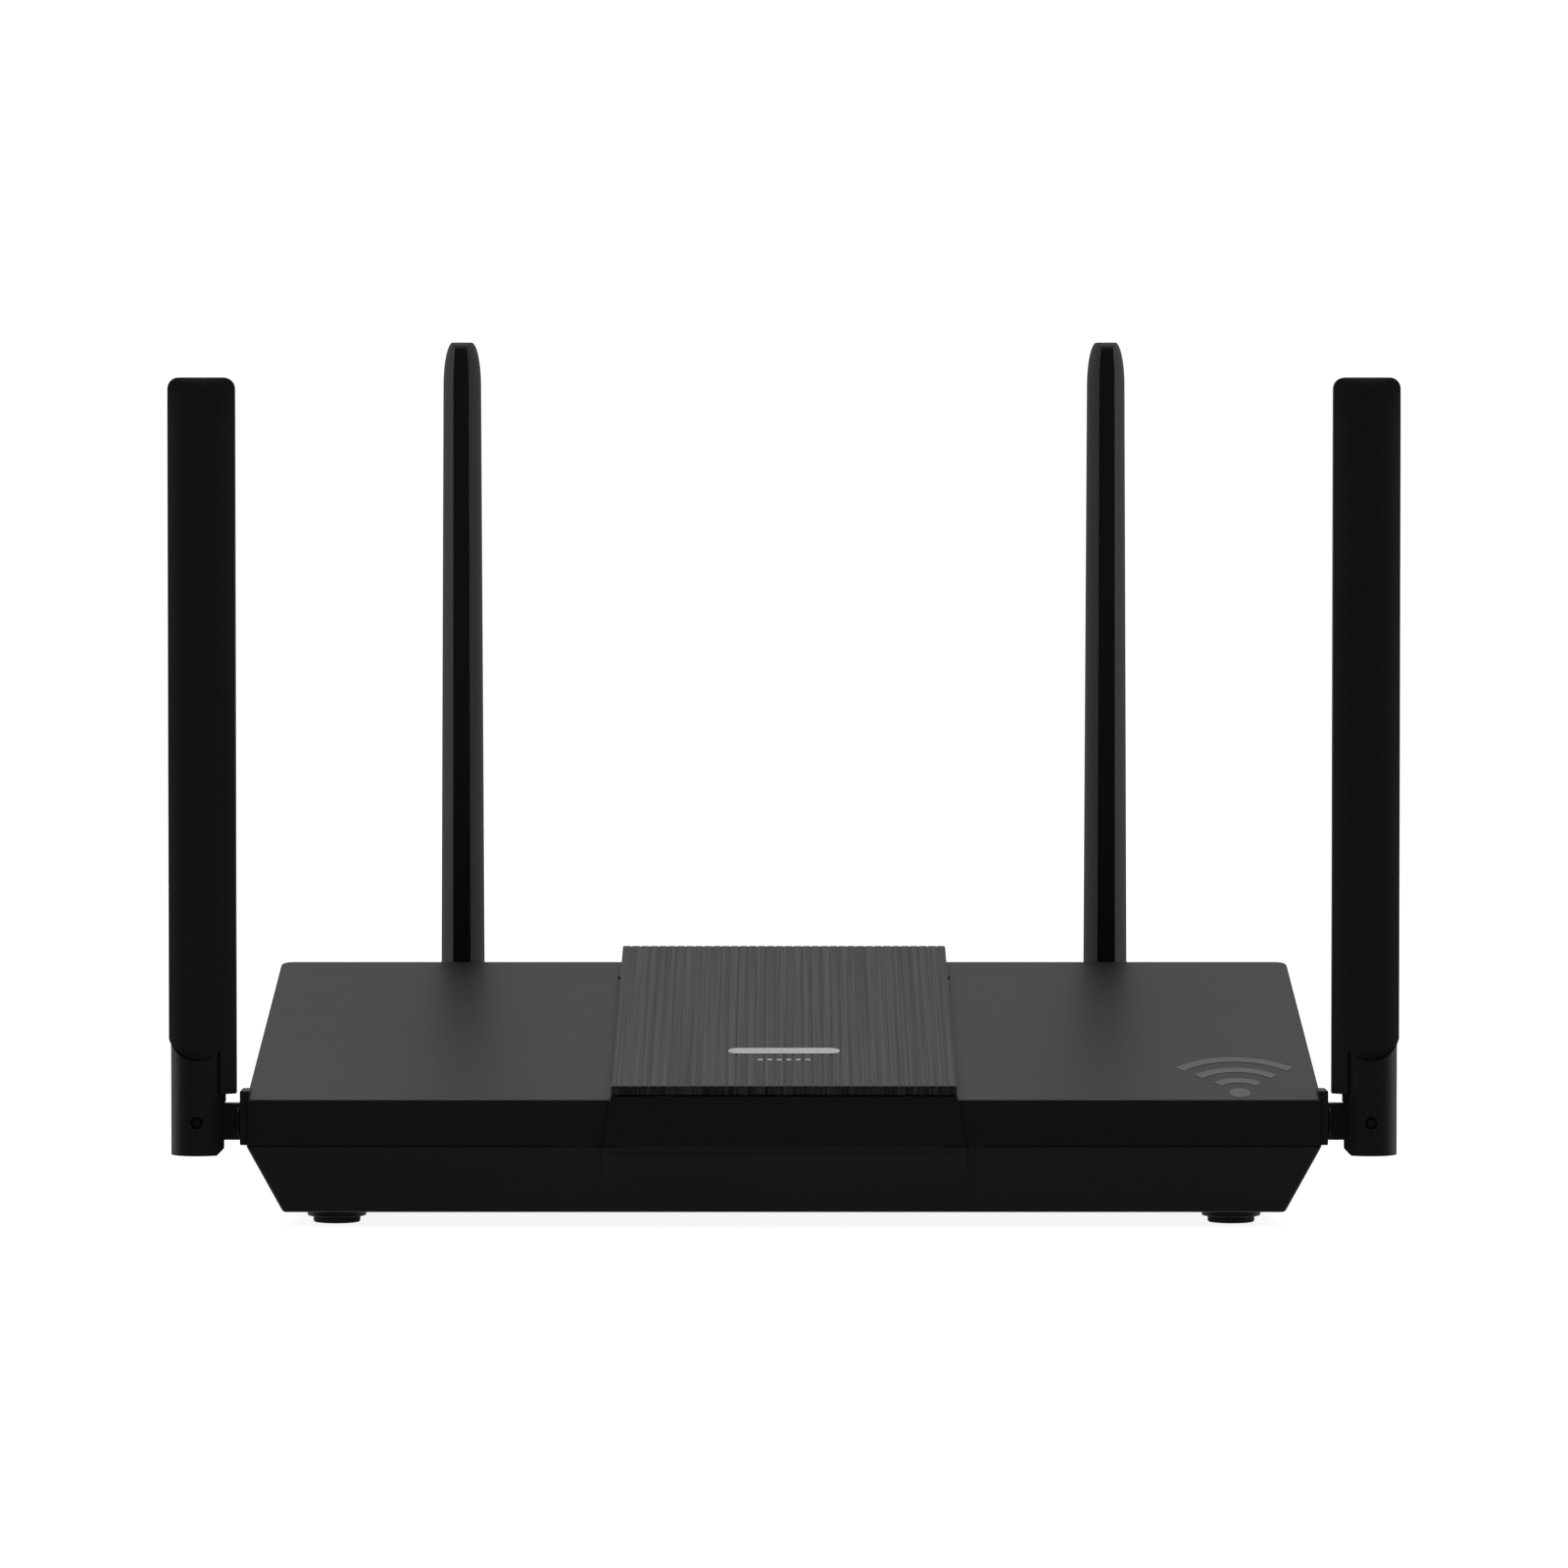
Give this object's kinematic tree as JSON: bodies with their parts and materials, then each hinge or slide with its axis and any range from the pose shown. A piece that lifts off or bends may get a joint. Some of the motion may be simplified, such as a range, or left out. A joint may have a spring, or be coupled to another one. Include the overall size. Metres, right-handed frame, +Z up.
{
  "type": "wireless router",
  "caption": "Desktop wireless router: a low wedge-shaped case with a ribbed middle panel, network sockets on the back, and upright antennas on swivelling, tilting hinges.",
  "frame": {"origin": "middle of the whole object's base, on the table", "axes": "+Z up; -Y is the front, where the low edge is; +X is the object's right as seen from the front"},
  "size_m": [0.2978, 0.158, 0.2167],
  "materials": {
    "case": "fine satin texture, black",
    "panel": "ribbed, satin black",
    "antenna": "smooth satin black",
    "hinge": "satin black",
    "steel": "plain zinc-plated steel",
    "laminate": "glass-fibre laminate with green solder mask",
    "lead": "thin black coaxial lead",
    "rubber": "matt rubber",
    "aluminium": "plain aluminium",
    "chip": "moulded epoxy and nylon",
    "button": "satin grey-black",
    "socket": "moulded nylon, black",
    "light_guide": "clear acrylic"
  },
  "bodies": {
    "case": {"lower_case": "case", "upper_cover": "case", "rear_panel": "case", "center_panel": "panel", "case_screw_1": "steel", "case_screw_2": "steel", "case_screw_3": "steel", "case_screw_4": "steel", "board_screw_1": "steel", "board_screw_2": "steel", "board_screw_3": "steel", "board_screw_4": "steel", "radio_shield_left": "steel", "radio_shield_right": "steel", "main_board": "laminate", "antenna_lead_front_left": "lead", "antenna_lead_front_right": "lead", "antenna_lead_rear_left": "lead", "antenna_lead_rear_right": "lead", "foot_front_left": "rubber", "foot_front_right": "rubber", "foot_rear_left": "rubber", "foot_rear_right": "rubber", "heatsink": "aluminium", "capacitor": "aluminium", "main_chip": "chip", "memory_chip": "chip", "lan_transformer_1": "chip", "lan_transformer_2": "chip", "power_inductor": "chip", "power_switch": "chip", "wps_switch": "chip", "reset_switch": "chip", "lan_jack_1": "socket", "lan_jack_2": "socket", "lan_jack_3": "socket", "lan_jack_4": "socket", "wan_jack": "socket", "dc_jack": "socket", "led_light_guide": "light_guide"},
    "front_left_swivel": {"swivel_front_left": "hinge"},
    "front_left_antenna": {"antenna_front_left": "antenna", "hinge_pin_front_left": "steel", "antenna_element_front_left": "laminate"},
    "front_right_swivel": {"swivel_front_right": "hinge"},
    "front_right_antenna": {"antenna_front_right": "antenna", "hinge_pin_front_right": "steel", "antenna_element_front_right": "laminate"},
    "rear_left_swivel": {"swivel_rear_left": "hinge"},
    "rear_left_antenna": {"antenna_rear_left": "antenna", "hinge_pin_rear_left": "steel", "antenna_element_rear_left": "laminate"},
    "rear_right_swivel": {"swivel_rear_right": "hinge"},
    "rear_right_antenna": {"antenna_rear_right": "antenna", "hinge_pin_rear_right": "steel", "antenna_element_rear_right": "laminate"},
    "power_button": {"power_button": "button"},
    "wps_button": {"wps_button": "button"},
    "reset_button": {"reset_button": "button"}
  },
  "joints": [
    {"name": "swivel_front_left", "type": "hinge", "parent": "case", "child": "front_left_swivel", "pos_m": [-0.1419, -0.07175, 0.0254], "axis": [1, 0, 0], "range_deg": [-90, 90]},
    {"name": "tilt_front_left", "type": "hinge", "parent": "front_left_swivel", "child": "front_left_antenna", "pos_m": [-0.1419, -0.07175, 0.0254], "axis": [0, -1, 0], "range_deg": [0, 90]},
    {"name": "swivel_front_right", "type": "hinge", "parent": "case", "child": "front_right_swivel", "pos_m": [0.1419, -0.07175, 0.0254], "axis": [1, 0, 0], "range_deg": [-90, 90]},
    {"name": "tilt_front_right", "type": "hinge", "parent": "front_right_swivel", "child": "front_right_antenna", "pos_m": [0.1419, -0.07175, 0.0254], "axis": [0, 1, 0], "range_deg": [0, 90]},
    {"name": "swivel_rear_left", "type": "hinge", "parent": "case", "child": "rear_left_swivel", "pos_m": [-0.0835, 0.07195, 0.0367], "axis": [0, 1, 0], "range_deg": [-90, 60]},
    {"name": "tilt_rear_left", "type": "hinge", "parent": "rear_left_swivel", "child": "rear_left_antenna", "pos_m": [-0.0835, 0.07195, 0.0367], "axis": [-1, 0, 0], "range_deg": [0, 90]},
    {"name": "swivel_rear_right", "type": "hinge", "parent": "case", "child": "rear_right_swivel", "pos_m": [0.0835, 0.07195, 0.0367], "axis": [0, 1, 0], "range_deg": [-60, 90]},
    {"name": "tilt_rear_right", "type": "hinge", "parent": "rear_right_swivel", "child": "rear_right_antenna", "pos_m": [0.0835, 0.07195, 0.0367], "axis": [-1, 0, 0], "range_deg": [0, 90]},
    {"name": "power_button_press", "type": "slide", "parent": "case", "child": "power_button", "axis": [0, -1, 0], "range_m": [0, 0.002], "stiffness_N_per_m": 800},
    {"name": "wps_button_press", "type": "slide", "parent": "case", "child": "wps_button", "axis": [0, -1, 0], "range_m": [0, 0.001], "stiffness_N_per_m": 900},
    {"name": "reset_button_press", "type": "slide", "parent": "case", "child": "reset_button", "axis": [0, -1, 0], "range_m": [0, 0.0004], "stiffness_N_per_m": 1200}
  ]
}
